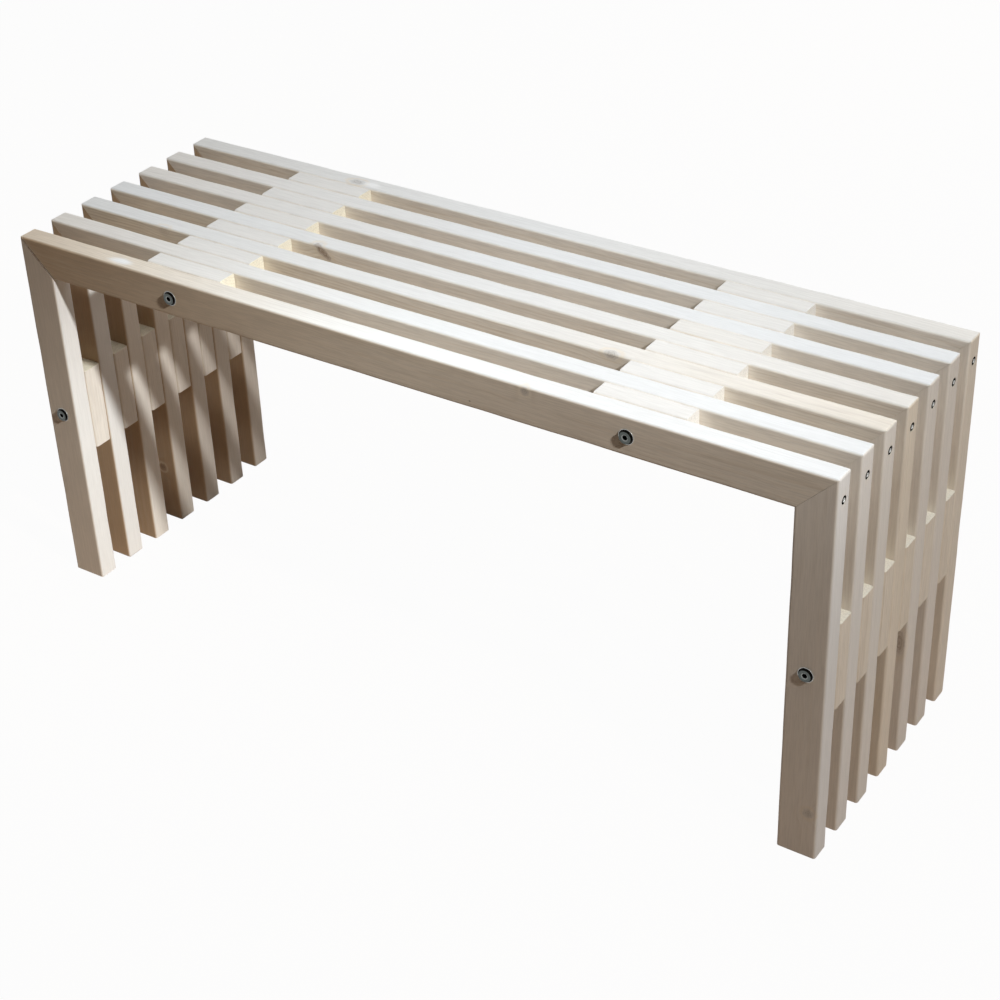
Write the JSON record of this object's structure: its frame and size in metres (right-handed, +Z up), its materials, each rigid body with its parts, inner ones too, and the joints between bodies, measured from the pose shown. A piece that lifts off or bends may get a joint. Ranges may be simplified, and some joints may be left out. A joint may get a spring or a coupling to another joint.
{
  "type": "slatted wooden bench",
  "caption": "Backless bench of parallel mitred pine frames on edge, kept apart by spacer blocks and drawn together by tie rods with cap nuts.",
  "frame": {"origin": "on the floor, under the middle of the bench", "axes": "+X along the bench, -Y towards the front, +Z up"},
  "size_m": [1, 0.3242, 0.448],
  "materials": {
    "pine_rail": "white-oiled, matt",
    "pine_leg": "white-oiled, matt",
    "pine_spacer": "white-oiled, matt",
    "zinc_rod": "zinc plated",
    "zinc_nut": "zinc plated, worn"
  },
  "bodies": {
    "root": {"rail_1": "pine_rail", "rail_2": "pine_rail", "rail_3": "pine_rail", "rail_4": "pine_rail", "rail_5": "pine_rail", "rail_6": "pine_rail", "rail_7": "pine_rail", "leg_left_1": "pine_leg", "leg_left_2": "pine_leg", "leg_left_3": "pine_leg", "leg_left_4": "pine_leg", "leg_left_5": "pine_leg", "leg_left_6": "pine_leg", "leg_left_7": "pine_leg", "leg_right_1": "pine_leg", "leg_right_2": "pine_leg", "leg_right_3": "pine_leg", "leg_right_4": "pine_leg", "leg_right_5": "pine_leg", "leg_right_6": "pine_leg", "leg_right_7": "pine_leg", "spacer_seat_left_1": "pine_spacer", "spacer_seat_left_2": "pine_spacer", "spacer_seat_left_3": "pine_spacer", "spacer_seat_left_4": "pine_spacer", "spacer_seat_left_5": "pine_spacer", "spacer_seat_left_6": "pine_spacer", "tie_rod_seat_left": "zinc_rod", "cap_nut_seat_left_front": "zinc_nut", "cap_nut_seat_left_rear": "zinc_nut", "spacer_seat_right_1": "pine_spacer", "spacer_seat_right_2": "pine_spacer", "spacer_seat_right_3": "pine_spacer", "spacer_seat_right_4": "pine_spacer", "spacer_seat_right_5": "pine_spacer", "spacer_seat_right_6": "pine_spacer", "tie_rod_seat_right": "zinc_rod", "cap_nut_seat_right_front": "zinc_nut", "cap_nut_seat_right_rear": "zinc_nut", "spacer_leg_left_1": "pine_spacer", "spacer_leg_left_2": "pine_spacer", "spacer_leg_left_3": "pine_spacer", "spacer_leg_left_4": "pine_spacer", "spacer_leg_left_5": "pine_spacer", "spacer_leg_left_6": "pine_spacer", "tie_rod_leg_left": "zinc_rod", "cap_nut_leg_left_front": "zinc_nut", "cap_nut_leg_left_rear": "zinc_nut", "spacer_leg_right_1": "pine_spacer", "spacer_leg_right_2": "pine_spacer", "spacer_leg_right_3": "pine_spacer", "spacer_leg_right_4": "pine_spacer", "spacer_leg_right_5": "pine_spacer", "spacer_leg_right_6": "pine_spacer", "tie_rod_leg_right": "zinc_rod", "cap_nut_leg_right_front": "zinc_nut", "cap_nut_leg_right_rear": "zinc_nut"}
  },
  "joints": []
}
